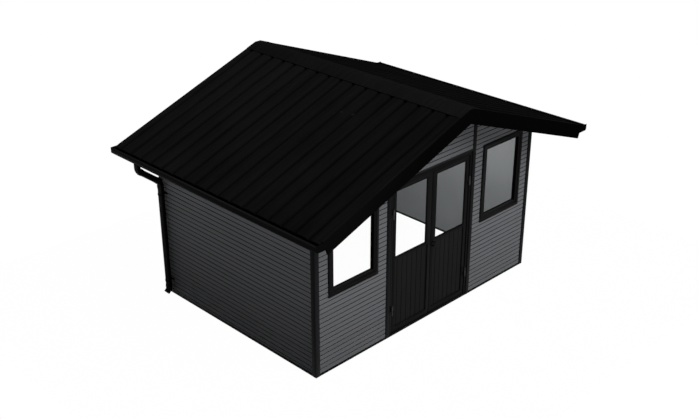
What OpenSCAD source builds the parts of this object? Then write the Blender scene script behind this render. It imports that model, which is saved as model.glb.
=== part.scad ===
// Garden shed with a pitched roof, glazed double doors and two fixed front windows.
// Millimetres, +Z up, the front gable faces -Y. The origin is on the ground,
// under the middle of the whole outline, roof overhangs included.

/* [Building] */
// Width over the corner posts
wall_w = 4000; // [3200:10:5000]
// Depth over the corner posts
wall_d = 2924; // [2300:2:3800]
// Thickness of the cladding panels
wall_t = 40; // [28:1:60]
// How far the cladding stands back from the face of the posts
wall_set = 8; // [4:1:12]
// Height of the base rail under the panels
base_h = 30; // [20:1:60]
// Side of the square corner posts
corner_post = 70; // [60:1:110]
// Face width of the posts that join two panels
panel_post_w = 62; // [40:1:80]
// Gap left between pieces that are seated on each other
seat = 0.3; // [0.1:0.1:0.5]

/* [Roof] */
// Pitch of both slopes in degrees
roof_pitch = 20; // [15:1:24]
// Height at which the two slopes would meet
ridge_z = 2998; // [2900:1:3600]
// Overhang in front of the front gable
over_front = 529; // [350:1:640]
// Overhang behind the back gable
over_rear = 307; // [150:1:400]
// Distance from the side of the building to the outer face of the fascia
over_side = 375; // [300:1:450]
// How far the sheets run past the fascia into the gutter
drip = 20; // [10:1:25]
// Distance between two grooves of the roof sheet, evened out to suit the depth
groove_pitch = 216.5; // [180:0.5:260]
// Distance from the front gable to the first groove behind it
groove_start = 95; // [0:1:160]
// Distance from the back gable to the last groove in front of it
groove_end = 14.5; // [5:0.5:30]
// Width of the floor of a groove
groove_w = 34; // [24:1:50]
// Width of each sloping flank of a groove
groove_flank = 14; // [8:1:20]
// Depth of a groove
groove_depth = 18; // [10:1:30]
// Thickness of the sheet
sheet_t = 5; // [3:0.5:8]
// Width of the flat along the top of the ridge
ridge_flat = 90; // [60:1:130]
// Reach of each wing of the ridge cap, measured level
cap_reach = 200; // [150:1:280]
// Thickness of the ridge cap
cap_t = 3; // [2:0.5:5]
// Thickness of the barge boards
barge_t = 20; // [16:1:30]
// Depth of the barge boards, measured plumb
barge_d = 195; // [140:1:240]
// Width of the flange that the barge boards turn over the sheet
flange_w = 58; // [40:1:80]
// Thickness of that flange
flange_t = 4; // [3:0.5:6]
// Thickness of the fascia boards
fascia_t = 20; // [16:1:30]
// Depth of the fascia boards
fascia_d = 62; // [56:1:150]
// Width of the ridge beam
beam_w = 120; // [110:1:160]
// Depth of the ridge beam
beam_d = 150; // [120:1:180]
// Width of the purlins
purlin_w = 50; // [40:1:60]
// Depth of the purlins
purlin_d = 110; // [90:1:120]
// Level distance from the ridge to each purlin and from one purlin to the next
purlin_step = 660; // [620:1:690]

/* [Rainwater] */
// Width of the gutters
gutter_w = 90; // [86:1:130]
// Depth of the gutters
gutter_d = 76; // [66:1:120]
// Thickness of the gutters
gutter_t = 3; // [2:0.5:4]
// Chamfer along the lower outer edge of the gutters
gutter_chamfer = 18; // [10:1:30]
// Width of the bead along the outer top edge of the gutters
bead_w = 28; // [10:1:32]
// How far the end plates of the gutters reach over the barge boards
end_lap = 95; // [40:1:140]
// How far the end plates stand above the gutters
end_rise = 12; // [0:1:15]
// Radius of the downpipes
pipe_r = 40; // [28:1:40]
// Wall of the downpipes
pipe_t = 3; // [2:0.5:4]
// Gap between the corner post and a downpipe
pipe_gap = 12; // [8:1:20]
// Bend radius of the downpipes
bend_r = 80; // [60:1:90]
// Slope of the swan neck, in degrees from plumb
neck_angle = 52; // [45:1:60]
// Straight drop from a gutter to its swan neck
stub_len = 55; // [30:1:110]
// Distance from the back gable to the middle of a downpipe
pipe_inset = 106; // [100:1:160]
// How far the outlet of the gutter lies in front of the downpipe
outlet_shift = 80; // [0:1:120]
// Height at which the shoe leaves the straight pipe
shoe_z = 109; // [106:1:220]
// Slope of the shoe, in degrees from plumb
shoe_angle = 50; // [35:1:60]
// Height of a pipe clip
clip_h = 22; // [16:1:30]

/* [Windows] */
// Distance from the middle of the front to the middle of a window
window_x = 1374; // [1280:1:1420]
// Width over the window casing
window_w = 822; // [640:1:880]
// Height over the window casing
window_h = 1096; // [850:1:1130]
// Height of the underside of the window casing
window_z = 1006; // [850:1:1010]
// Width of the flat outer casing
casing_w = 36; // [30:1:60]
// Width of the inner frame that holds the glass
sash_w = 46; // [40:1:75]
// How far the casing stands out from the cladding
casing_out = 14; // [8:1:20]
// Step back from the casing to the inner frame
sash_set = 6; // [3:1:10]
// How far the window frame stands out from the cladding inside
frame_in = 5; // [2:1:12]
// Distance from the inner face of the window frame to the glass
glass_in = 11; // [8:1:16]
// Thickness of the glass
glass_t = 6; // [4:1:8]

/* [Doors] */
// Clear distance between the door posts
door_bay = 1500; // [1400:1:1600]
// Width of the door jambs
jamb_w = 42; // [35:1:60]
// Height of the top of the door frame
door_top = 2099; // [1960:1:2120]
// Height of the head of the door frame
head_h = 52; // [40:1:70]
// How far the weather bar over the doors stands out
bar_out = 18; // [12:1:30]
// Height of the weather bar
bar_h = 20; // [16:1:30]
// Gap between a leaf and the frame, and half the gap between the leaves
leaf_gap = 6; // [5:0.5:8]
// Thickness of a leaf
leaf_t = 40; // [36:1:50]
// How far the leaves stand back from the cladding
leaf_set = 6; // [2:1:12]
// Width of the hinge stiles
stile_w = 56; // [50:1:80]
// Width of the meeting stiles
meeting_w = 82; // [70:1:100]
// Height of the top rail
top_rail = 56; // [50:1:90]
// Height of the rail under the glass
mid_rail = 30; // [28:1:60]
// Height of the bottom rail
bottom_rail = 70; // [60:1:120]
// Height of the underside of the glass
door_glass_z = 1092; // [950:1:1150]
// Distance from the leaf face to the glass
door_glass_set = 8; // [6:1:11]
// Thickness of the leaf round the glass, in front of its rebate
lip_t = 20; // [17:1:26]
// Width of that thinner part
lip_w = 26; // [16:1:30]
// Distance from the leaf face to the boarded panel
door_panel_set = 18; // [8:1:20]
// Thickness of the boarded panel
door_panel_t = 16; // [12:1:18]
// Depth of the grooves that hold the glass and the panels
rebate = 8; // [6:1:12]
// Radius of the hinge knuckles
knuckle_r = 9; // [7:0.5:11]
// Radius of the hinge pins
pin_r = 4; // [3:0.5:5]
// Height of a hinge
hinge_h = 124; // [100:1:150]
// Height of the middle of the lower hinges
hinge_low = 365; // [300:1:450]
// Height of the middle of the upper hinges
hinge_high = 1698; // [1500:1:1750]
// Height of the door handle
handle_z = 1034; // [980:1:1060]
// Height of the upright grips
grip_h = 80; // [66:1:100]

/* [Hidden] */
slope = tan(roof_pitch);
half_w = wall_w / 2;
y_front = (over_front - over_rear - wall_d) / 2;
sheet_set = flange_t + seat;
sheet_low = sheet_set + groove_depth + sheet_t;
build_up = (sheet_low + seat) / cos(roof_pitch);
face_x = half_w - wall_set;
bay = door_bay / 2;
post_out = bay + panel_post_w;
post_d = wall_t + 2 * wall_set;
rail_set = wall_set / 4;
barge_x = half_w + over_side - fascia_t - seat;
sheet_x = half_w + over_side + drip;
gutter_x = half_w + over_side + seat;
gutter_top = roof_z(sheet_x) - 8;
gutter_back = roof_z(sheet_x) - (sheet_low + 3) / cos(roof_pitch);
fascia_top = roof_z(half_w + over_side) - build_up;
purlin_count = 2;
open_x = bay - jamb_w;
leaf_x0 = leaf_gap / 2;
leaf_x1 = open_x - leaf_gap;
leaf_z0 = base_h + leaf_gap;
leaf_z1 = door_top - head_h - leaf_gap;
hinge_x = open_x - leaf_gap / 2;
hinge_y = wall_set - knuckle_r - 0.5;
leaf_y = wall_set + leaf_set;
stop_y = leaf_y + leaf_t + leaf_gap;
plate_t = 3;
pin_play = 0.05;
handle_x = leaf_x0 + meeting_w / 2;
pipe_y = wall_d - pipe_inset;
pipe_x0 = gutter_x + gutter_w / 2;
pipe_x1 = half_w + pipe_gap + pipe_r;
outlet_y = pipe_y - outlet_shift;
outlet_r = min(pipe_r - pipe_t, gutter_w / 2 - gutter_chamfer - 1);
neck_plan = norm([pipe_x0 - pipe_x1, outlet_shift]);
neck_turn = atan2(outlet_shift, pipe_x0 - pipe_x1);
neck_len = (neck_plan - 2 * bend_r * (1 - cos(neck_angle))) / sin(neck_angle);
neck_drop = 2 * bend_r * sin(neck_angle) + neck_len * cos(neck_angle);
pipe_top = gutter_top - gutter_d - seat;
neck_top = pipe_top - stub_len;
neck_end = neck_top - neck_drop;
shoe_len = 30;
shoe_r = 62;
socket_t = 4;
socket_h = 38;
$fn = 64;

// Height of the top plane of the roof at a distance from the ridge
function roof_z(x) = ridge_z - slope * abs(x);

// Height of the trimmed roof line, flat along the ridge
function trim_z(x) = min(roof_z(x), roof_z(ridge_flat / 2));

// Height under the roof sheets, for what carries them
function under_z(x) = roof_z(x) - build_up;

// Moves a piece drawn from the face of the front gable into the frame of the shed
module sited() { translate([0, y_front, 0]) children(); }

module right_side() { children(); }

module left_side() { mirror([1, 0, 0]) children(); }

module both_sides() {
    children();
    mirror([1, 0, 0]) children();
}

// A block given by its two opposite corners
module block(a, b) { translate(a) cube(b - a); }

// A profile drawn in X and Z, carried along Y from a to b
module along_y(a, b) {
    translate([0, b, 0]) rotate([90, 0, 0]) linear_extrude(b - a) children();
}

// A flat profile placed with X down the slope and Y square to it
module on_slope_2d() { translate([0, ridge_z]) rotate(-roof_pitch) children(); }

// The same for solids: X down the slope, Z square to it
module on_slope() { translate([0, 0, ridge_z]) rotate([0, roof_pitch, 0]) children(); }

/* Frame of the building */

module base_rails() {
    y0 = rail_set;
    y1 = post_d - rail_set;
    x1 = half_w - corner_post - seat;
    color("#17181a") sited() {
        both_sides() block([post_out + seat, y0, 0], [x1, y1, base_h]);
        both_sides() block([post_out + seat, wall_d - y1, 0], [x1, wall_d - y0, base_h]);
        block([-bay + seat, wall_d - y1, 0], [bay - seat, wall_d - y0, base_h]);
        both_sides() block(
            [half_w - y1, corner_post + seat, 0],
            [half_w - y0, wall_d - corner_post - seat, base_h]
        );
    }
}

module corner_posts() {
    top = under_z(half_w);
    color("#1d1e21") sited() both_sides() for (y = [0, wall_d - corner_post])
        translate([0, y, 0]) block(
            [half_w - corner_post, 0, 0],
            [half_w, corner_post, top]
        );
}

// One post beside the doors or in the back gable, cut to the slope
module panel_post(y) {
    along_y(y, y + post_d) polygon([
        [bay, 0], [post_out, 0],
        [post_out, under_z(post_out)], [bay, under_z(bay)]
    ]);
}

module panel_posts() {
    color("#1d1e21") sited() both_sides() {
        panel_post(0);
        panel_post(wall_d - post_d);
    }
}

/* Walls */

module side_wall() {
    z0 = base_h + seat;
    block(
        [face_x - wall_t, corner_post + seat, z0],
        [face_x, wall_d - corner_post - seat, under_z(face_x)]
    );
}

module left_wall() { color("#3a3b3e") sited() left_side() side_wall(); }

module right_wall() { color("#3a3b3e") sited() right_side() side_wall(); }

// The notches that the ridge beam and the purlins pass through
module roof_notches() {
    beam_profile(seat);
    for (side = [0, 1]) mirror([side, 0]) purlin_profiles(seat);
}

// Outline of a gable panel between two distances from the middle
module gable_outline(x0, x1, z0) {
    difference() {
        polygon([
            [x0, z0], [x1, z0], [x1, under_z(x1)],
            if (x0 < 0) [0, under_z(0)],
            [x0, under_z(x0)]
        ]);
        roof_notches();
    }
}

module window_panel() {
    hole_w = window_w - casing_w + 2 * seat;
    hole_h = window_h - casing_w + 2 * seat;
    along_y(wall_set, wall_set + wall_t) difference() {
        gable_outline(post_out + seat, half_w - corner_post - seat, base_h + seat);
        translate([window_x - hole_w / 2, window_z + (window_h - hole_h) / 2])
            square([hole_w, hole_h]);
    }
}

module front_wall_left() { color("#4a4b4e") sited() left_side() window_panel(); }

module front_wall_right() { color("#4a4b4e") sited() right_side() window_panel(); }

module front_wall_over_door() {
    color("#4a4b4e") sited() along_y(wall_set, wall_set + wall_t)
        gable_outline(seat - bay, bay - seat, door_top + seat);
}

module back_wall() {
    y1 = wall_d - wall_set;
    x1 = half_w - corner_post - seat;
    color("#4a4b4e") sited() along_y(y1 - wall_t, y1) {
        gable_outline(seat - bay, bay - seat, base_h + seat);
        gable_outline(post_out + seat, x1, base_h + seat);
        mirror([1, 0]) gable_outline(post_out + seat, x1, base_h + seat);
    }
}

/* Windows */

frame_back = wall_set + wall_t + frame_in;
glass_y = frame_back - glass_in - glass_t;

// A flat ring from the outer edge less one inset to the outer edge less another
module casing_ring(outer, inner) {
    difference() {
        casing_sheet(outer);
        casing_sheet(inner);
    }
}

module casing_sheet(inset) {
    translate([window_x - window_w / 2 + inset, window_z + inset])
        square([window_w - 2 * inset, window_h - 2 * inset]);
}

module window_frame() {
    face = wall_set - casing_out;
    pane = casing_w + sash_w;
    difference() {
        union() {
            along_y(face, wall_set - seat) casing_ring(0, casing_w);
            along_y(face + sash_set, frame_back) casing_ring(casing_w / 2, pane);
        }
        along_y(glass_y - seat, glass_y + glass_t + seat) casing_sheet(pane - rebate);
    }
}

module window_glass() {
    along_y(glass_y, glass_y + glass_t) casing_sheet(casing_w + sash_w - rebate + seat);
}

module window_frame_left() { color("#1b1c1e") sited() left_side() window_frame(); }

module window_frame_right() { color("#1b1c1e") sited() right_side() window_frame(); }

module window_glass_left() { color("#b9c4c8", 0.35) sited() left_side() window_glass(); }

module window_glass_right() { color("#b9c4c8", 0.35) sited() right_side() window_glass(); }

/* Doors */

stop_d = 14;
stop_w = 12;
rail_web = 10;

module door_frame() {
    y1 = stop_y;
    z0 = base_h + seat;
    color("#1b1c1e") sited() {
        along_y(wall_set, y1) difference() {
            translate([seat - bay, z0]) square([2 * (bay - seat), door_top - z0]);
            translate([-open_x, z0 - 1]) square([2 * open_x, door_top - head_h - z0 + 1]);
        }
        along_y(y1, y1 + stop_d) difference() {
            translate([seat - bay, z0]) square([2 * (bay - seat), door_top - z0]);
            translate([-open_x + stop_w, z0 - 1])
                square([2 * (open_x - stop_w), door_top - head_h - stop_w - z0 + 1]);
        }
    }
}

// The bar over the doors, with a sloping top that sheds the rain
module weather_bar() {
    z0 = door_top + seat;
    color("#222325") sited() translate([seat - bay, wall_set - seat, z0]) rotate([90, 0, 90])
        linear_extrude(2 * (bay - seat)) polygon([
            [-bar_out, 0], [0, 0], [0, bar_h], [-bar_out, bar_h * 0.4]
        ]);
}

module door_sill() {
    y1 = stop_y + stop_d;
    nose = 6;
    color("#17181a") sited() translate([seat - bay, 0, 0]) rotate([90, 0, 90])
        linear_extrude(2 * (bay - seat)) polygon([
            [rail_set, 0], [y1, 0], [y1, base_h],
            [rail_set + nose * 2, base_h], [rail_set, base_h - nose]
        ]);
}

// The frame of one leaf: stiles, top rail, rail under the glass and bottom rail
module leaf() {
    ix0 = leaf_x0 + meeting_w;
    ix1 = leaf_x1 - stile_w;
    y0 = leaf_y;
    y1 = leaf_y + leaf_t;
    pz0 = leaf_z0 + bottom_rail;
    pz1 = door_glass_z - mid_rail;
    gz1 = leaf_z1 - top_rail;
    g0 = y0 + door_glass_set;
    p0 = y0 + door_panel_set;
    difference() {
        block([leaf_x0, y0, leaf_z0], [leaf_x1, y1, leaf_z1]);
        block([ix0, y0 - 1, pz0], [ix1, y1 + 1, pz1]);
        block([ix0, y0 - 1, door_glass_z], [ix1, y1 + 1, gz1]);
        block(
            [ix0 - lip_w, y0 + lip_t, pz1 + rebate + rail_web],
            [ix1 + lip_w, y1 + 1, gz1 + lip_w]
        );
        block(
            [ix0 - rebate, g0 - seat, door_glass_z - rebate],
            [ix1 + rebate, g0 + glass_t + seat, gz1 + rebate]
        );
        block(
            [ix0 - rebate, p0 - seat, pz0 - rebate],
            [ix1 + rebate, p0 + door_panel_t + seat, pz1 + rebate]
        );
    }
}

module leaf_panel() {
    r = rebate - seat;
    p0 = leaf_y + door_panel_set;
    block(
        [leaf_x0 + meeting_w - r, p0, leaf_z0 + bottom_rail - r],
        [leaf_x1 - stile_w + r, p0 + door_panel_t, door_glass_z - mid_rail + r]
    );
}

module leaf_glass() {
    r = rebate - seat;
    g0 = leaf_y + door_glass_set;
    block(
        [leaf_x0 + meeting_w - r, g0, door_glass_z - r],
        [leaf_x1 - stile_w + r, g0 + glass_t, leaf_z1 - top_rail + r]
    );
}

module left_door_leaf() { color("#1b1c1e") sited() left_side() leaf(); }

module right_door_leaf() { color("#1b1c1e") sited() right_side() leaf(); }

module left_door_panel() { color("#17181a") sited() left_side() leaf_panel(); }

module right_door_panel() { color("#17181a") sited() right_side() leaf_panel(); }

module left_door_glass() { color("#b9c4c8", 0.35) sited() left_side() leaf_glass(); }

module right_door_glass() { color("#b9c4c8", 0.35) sited() right_side() leaf_glass(); }

// The half of a lift-off hinge that stays on the jamb, with its pin
module jamb_hinge(z) {
    h = hinge_h / 2;
    translate([hinge_x, hinge_y, z - h]) {
        cylinder(r = knuckle_r, h = h - seat);
        cylinder(r = pin_r, h = 2 * h - 8);
        block([0, knuckle_r + 0.5 - seat - plate_t, 0], [jamb_w - 4, knuckle_r + 0.5 - seat, h - seat]);
    }
}

// The half that is lifted off with the leaf, cranked back to the leaf's face
module leaf_hinge(z) {
    h = hinge_h / 2;
    y1 = leaf_y - hinge_y - seat;
    crank_x = leaf_gap / 2 + seat;
    translate([hinge_x, hinge_y, z + seat]) difference() {
        union() {
            cylinder(r = knuckle_r, h = h - seat);
            block([-knuckle_r, 0, 0], [-crank_x, y1, h - seat]);
            block([4 - jamb_w, y1 - plate_t, 0], [-crank_x, y1, h - seat]);
        }
        translate([0, 0, -1]) cylinder(r = pin_r + pin_play, h = h + 2);
    }
}

module frame_hinges() {
    color("#2a2b2d") sited() both_sides() {
        jamb_hinge(hinge_low);
        jamb_hinge(hinge_high);
    }
}

module leaf_hinges() {
    leaf_hinge(hinge_low);
    leaf_hinge(hinge_high);
}

module left_door_hinges() { color("#2a2b2d") sited() left_side() leaf_hinges(); }

module right_door_hinges() { color("#2a2b2d") sited() right_side() leaf_hinges(); }

// An upright grip on two stems, drawn with the door face at Y = 0 and the grip in front
module grip() {
    stem_z = grip_h / 2 - 12;
    for (z = [-stem_z, stem_z]) translate([0, 0, z]) rotate([90, 0, 0]) cylinder(r = 7, h = 30);
    block([-9, -36, -grip_h / 2], [9, -26, grip_h / 2]);
}

module door_handle() {
    color("#0e0e0f") sited() {
        translate([handle_x, leaf_y - seat, handle_z]) grip();
        translate([handle_x, leaf_y + leaf_t + seat, handle_z]) mirror([0, 1, 0]) grip();
    }
}

/* Roof */

sheet_y0 = barge_t + seat - over_front;
sheet_y1 = wall_d + over_rear - barge_t - seat;
groove_half = groove_w / 2 + groove_flank;
groove_run = wall_d - groove_start - groove_end;
groove_gap = groove_run / round(groove_run / groove_pitch);
groove_first = ceil((sheet_y0 + groove_half + 10 - groove_start) / groove_gap);
groove_last = floor((sheet_y1 - groove_half - 10 - groove_start) / groove_gap);

// Upper line of the sheet across the grooves
sheet_line = [
    [sheet_y0, 0],
    for (k = [groove_first : groove_last]) let (c = groove_start + k * groove_gap) each [
        [c - groove_half, 0],
        [c - groove_w / 2, -groove_depth],
        [c + groove_w / 2, -groove_depth],
        [c + groove_half, 0]
    ],
    [sheet_y1, 0]
];

module roof_sheet() {
    s0 = ridge_flat / 2 / cos(roof_pitch) + sheet_low * slope;
    s1 = sheet_x / cos(roof_pitch);
    n = len(sheet_line);
    on_slope() translate([s0, 0, -sheet_set]) rotate([90, 0, 90]) linear_extrude(s1 - s0)
        polygon([
            for (p = sheet_line) p,
            for (i = [n - 1 : -1 : 0]) sheet_line[i] - [0, sheet_t]
        ]);
}

module roof_sheet_left() { color("#101011") sited() left_side() roof_sheet(); }

module roof_sheet_right() { color("#101011") sited() right_side() roof_sheet(); }

// Line of the ridge cap at a height above the trimmed roof line
function cap_line(lift) = let (v = lift / cos(roof_pitch)) [
    [-cap_reach, roof_z(cap_reach) + v],
    [-ridge_flat / 2, trim_z(0) + v],
    [ridge_flat / 2, trim_z(0) + v],
    [cap_reach, roof_z(cap_reach) + v]
];

module ridge_cap() {
    lower = cap_line(seat);
    upper = cap_line(seat + cap_t);
    lip_z = roof_z(cap_reach - cap_t) - sheet_set / cos(roof_pitch) + seat;
    color("#131314") sited() {
        along_y(-over_front - 2, wall_d + over_rear + 2) polygon([
            for (p = lower) p,
            for (i = [3 : -1 : 0]) upper[i]
        ]);
        both_sides() along_y(
            flange_w + 2 - over_front,
            wall_d + over_rear - flange_w - 2
        ) polygon([
            [cap_reach - cap_t, lip_z], [cap_reach, lip_z],
            upper[3], upper[3] - [cap_t, 0]
        ]);
    }
}

// The ridge beam, with a bevelled top; grow opens it into a notch
module beam_profile(grow) {
    w = beam_w / 2 + grow;
    polygon([
        [-w, under_z(0) - beam_d - grow], [w, under_z(0) - beam_d - grow],
        [w, under_z(w) + 4 * grow], [0, under_z(0) + 4 * grow], [-w, under_z(w) + 4 * grow]
    ]);
}

module ridge_beam() {
    color("#3c3d40") sited()
        along_y(sheet_y0, sheet_y1) beam_profile(0);
}

// The purlins of the right slope; grow opens them into notches
module purlin_profiles(grow) {
    on_slope_2d() for (k = [1 : purlin_count])
        translate([k * purlin_step / cos(roof_pitch) - grow, -sheet_low - seat - purlin_d - grow])
            square([purlin_w + 2 * grow, purlin_d + 5 * grow]);
}

module purlins() {
    color("#3c3d40") sited() both_sides()
        along_y(sheet_y0, sheet_y1) purlin_profiles(0);
}

// One half of a barge board, its lower end cut square to the slope
module barge_profile() {
    x0 = seat / 2;
    cut = barge_d * cos(roof_pitch);
    polygon([
        [x0, roof_z(x0) - barge_d],
        [barge_x - cut * sin(roof_pitch), roof_z(barge_x) - cut * cos(roof_pitch)],
        [barge_x, roof_z(barge_x)], [ridge_flat / 2, trim_z(0)], [x0, trim_z(0)]
    ]);
}

module flange_profile() {
    v = flange_t / cos(roof_pitch);
    x0 = seat / 2;
    polygon([
        [ridge_flat / 2, trim_z(0) - v], [barge_x, roof_z(barge_x) - v],
        [barge_x, roof_z(barge_x)], [ridge_flat / 2, trim_z(0)], [x0, trim_z(0)],
        [x0, trim_z(0) - v]
    ]);
}

module barge_board() {
    along_y(0, barge_t) barge_profile();
    along_y(0, flange_w) flange_profile();
}

module barge_boards_front() {
    color("#0c0c0d") sited() both_sides() translate([0, -over_front, 0]) barge_board();
}

module barge_boards_back() {
    color("#0c0c0d") sited() both_sides()
        translate([0, wall_d + over_rear, 0]) mirror([0, 1, 0]) barge_board();
}

module fascia_boards() {
    x1 = half_w + over_side;
    y0 = -over_front;
    y1 = wall_d + over_rear;
    color("#0c0c0d") sited() both_sides() {
        block([x1 - fascia_t, y0, fascia_top - fascia_d], [x1, y1, fascia_top]);
        fascia_end(y0);
        fascia_end(y1 - barge_t);
    }
}

// The raised end of a fascia board, beside the end of a barge board
module fascia_end(y) {
    x1 = half_w + over_side;
    x0 = x1 - fascia_t;
    along_y(y, y + barge_t) polygon([
        [x0, fascia_top - 5], [x1, fascia_top - 5],
        [x1, roof_z(x1)], [x0, roof_z(x0)]
    ]);
}

/* Rainwater goods */

gutter_low = gutter_top - gutter_d;

// Outline of the gutter, smaller by t all round but open at the top
module gutter_outline(t, top) {
    x0 = gutter_x + t;
    x1 = gutter_x + gutter_w - t;
    c = gutter_chamfer - t * (2 - sqrt(2));
    polygon([
        [x0, gutter_low + t], [x1 - c, gutter_low + t], [x1, gutter_low + t + c],
        [x1, top], [x0, top]
    ]);
}

module gutter_section() {
    difference() {
        gutter_outline(0, gutter_top);
        gutter_outline(gutter_t, gutter_top + 1);
        translate([gutter_x - 1, gutter_back]) square([gutter_t + 2, gutter_d]);
    }
    translate([gutter_x + gutter_w - bead_w, gutter_top - 8]) square([bead_w, 8]);
}

module gutter() {
    y0 = -over_front - seat - gutter_t;
    y1 = wall_d + over_rear + seat + gutter_t;
    difference() {
        union() {
            along_y(y0, y1) gutter_section();
            along_y(y0, y0 + gutter_t) gutter_end();
            along_y(y1 - gutter_t, y1) gutter_end();
        }
        translate([pipe_x0, outlet_y, gutter_low - 1]) cylinder(r = outlet_r, h = gutter_t + 2);
    }
}

// End plate of a gutter, which laps the ends of the fascia and the barge board
module gutter_end() {
    gutter_outline(0, gutter_top + end_rise);
    translate([gutter_x - end_lap, gutter_low]) square([end_lap + 1, gutter_d + end_rise]);
}

module gutter_left() { color("#0f0f10") sited() left_side() gutter(); }

module gutter_right() { color("#0f0f10") sited() right_side() gutter(); }

// A tube along +Z from the origin
module tube(h) {
    difference() {
        cylinder(r = pipe_r, h = h);
        translate([0, 0, -1]) cylinder(r = pipe_r - pipe_t, h = h + 2);
    }
}

// The same with a socket round each end that a bend butts against
module socketed_tube(h) {
    difference() {
        union() {
            cylinder(r = pipe_r, h = h);
            cylinder(r = pipe_r + socket_t, h = socket_h);
            translate([0, 0, h - socket_h]) cylinder(r = pipe_r + socket_t, h = socket_h);
        }
        translate([0, 0, -1]) cylinder(r = pipe_r - pipe_t, h = h + 2);
    }
}

// A bend that starts at the origin heading down and turns towards +X
module pipe_bend(big, angle) {
    translate([big, 0, 0]) rotate([90, 0, 0]) rotate([0, 0, 180])
        rotate_extrude(angle = angle) translate([big, 0]) difference() {
            circle(pipe_r);
            circle(pipe_r - pipe_t);
        }
}

// The downpipe of the right side; its swan neck also runs a little to the rear
module downpipe() {
    neck_in = bend_r * (1 - cos(neck_angle));
    neck_fall = bend_r * sin(neck_angle);
    shoe_out = shoe_r * (1 - cos(shoe_angle));
    shoe_fall = shoe_r * sin(shoe_angle);
    translate([pipe_x0, outlet_y, 0]) rotate([0, 0, -neck_turn]) {
        translate([0, 0, neck_top]) {
            tube(pipe_top - neck_top);
            mirror([1, 0, 0]) pipe_bend(bend_r, neck_angle);
        }
        translate([-neck_in, 0, neck_top - neck_fall])
            rotate([0, 180 + neck_angle, 0]) translate([0, 0, seat]) socketed_tube(neck_len - 2 * seat);
        translate([-neck_plan, 0, neck_end]) rotate([180, 0, 0]) pipe_bend(bend_r, neck_angle);
    }
    translate([pipe_x1, pipe_y, shoe_z + seat]) socketed_tube(neck_end - shoe_z - 2 * seat);
    translate([pipe_x1, pipe_y, shoe_z]) pipe_bend(shoe_r, shoe_angle);
    translate([pipe_x1 + shoe_out, pipe_y, shoe_z - shoe_fall])
        rotate([0, 180 - shoe_angle, 0]) translate([0, 0, seat]) tube(shoe_len);
}

module downpipe_left() { color("#0f0f10") sited() left_side() downpipe(); }

module downpipe_right() { color("#0f0f10") sited() right_side() downpipe(); }

// A clip whose foot lies on the cladding beside the corner post
module pipe_clip(z) {
    r0 = pipe_r + seat;
    foot_x = face_x + seat - pipe_x1;
    foot_y = min(28, pipe_inset - corner_post - 2);
    translate([pipe_x1, pipe_y, z]) difference() {
        union() {
            cylinder(r = r0 + 4, h = clip_h);
            block([foot_x, -14, 0], [4 - r0, 14, clip_h]);
            block([foot_x, -62, 0], [foot_x + 4, foot_y, clip_h]);
        }
        translate([0, 0, -1]) cylinder(r = r0, h = clip_h + 2);
    }
}

module pipe_clips() {
    color("#0c0c0d") sited() both_sides() {
        pipe_clip(neck_end - 140);
        pipe_clip(shoe_z + 100);
    }
}

base_rails();
corner_posts();
panel_posts();
left_wall();
right_wall();
back_wall();
front_wall_left();
front_wall_right();
front_wall_over_door();
window_frame_left();
window_frame_right();
window_glass_left();
window_glass_right();
door_frame();
weather_bar();
door_sill();
frame_hinges();
left_door_leaf();
right_door_leaf();
left_door_panel();
right_door_panel();
left_door_glass();
right_door_glass();
left_door_hinges();
right_door_hinges();
door_handle();
roof_sheet_left();
roof_sheet_right();
ridge_cap();
ridge_beam();
purlins();
barge_boards_front();
barge_boards_back();
fascia_boards();
gutter_left();
gutter_right();
downpipe_left();
downpipe_right();
pipe_clips();
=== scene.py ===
import math

import bmesh
import bpy
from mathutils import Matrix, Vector


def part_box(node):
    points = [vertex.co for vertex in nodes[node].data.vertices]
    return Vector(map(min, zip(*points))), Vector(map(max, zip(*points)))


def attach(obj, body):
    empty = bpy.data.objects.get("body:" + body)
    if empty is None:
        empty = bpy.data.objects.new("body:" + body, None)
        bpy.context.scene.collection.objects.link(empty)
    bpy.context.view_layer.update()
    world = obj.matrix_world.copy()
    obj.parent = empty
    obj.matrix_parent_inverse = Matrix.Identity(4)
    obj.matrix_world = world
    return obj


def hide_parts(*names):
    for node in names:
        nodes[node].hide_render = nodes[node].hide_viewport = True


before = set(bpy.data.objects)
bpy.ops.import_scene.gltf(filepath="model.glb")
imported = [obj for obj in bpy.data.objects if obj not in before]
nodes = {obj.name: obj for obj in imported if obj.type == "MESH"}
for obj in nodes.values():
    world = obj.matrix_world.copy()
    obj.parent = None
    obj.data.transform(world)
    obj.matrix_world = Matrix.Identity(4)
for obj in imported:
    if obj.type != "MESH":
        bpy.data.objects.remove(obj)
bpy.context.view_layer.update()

root = "building"
signs = {"left": -1, "right": 1}  # along X
seat = 0.0003  # what the CAD leaves between neighbours, in metres
rebateLap = 0.0077  # how far glass and door panels run into their frames
tiny = 1e-5  # places closer than this are the same
creaseAngle = math.radians(35)  # flatter edges than this are shaded smooth and not rounded


# a socket to write sums with: each operator adds its Math node
class Wire:
    def __init__(self, finish, socket):
        self.finish = finish
        self.socket = socket

    def __add__(self, other):
        return self.finish.maths("ADD", self, other)

    def __radd__(self, other):
        return self.finish.maths("ADD", other, self)

    def __sub__(self, other):
        return self.finish.maths("SUBTRACT", self, other)

    def __rsub__(self, other):
        return self.finish.maths("SUBTRACT", other, self)

    def __mul__(self, other):
        return self.finish.maths("MULTIPLY", self, other)

    def __rmul__(self, other):
        return self.finish.maths("MULTIPLY", other, self)

    def __truediv__(self, other):
        return self.finish.maths("DIVIDE", self, other)

    def __rtruediv__(self, other):
        return self.finish.maths("DIVIDE", other, self)


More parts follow.
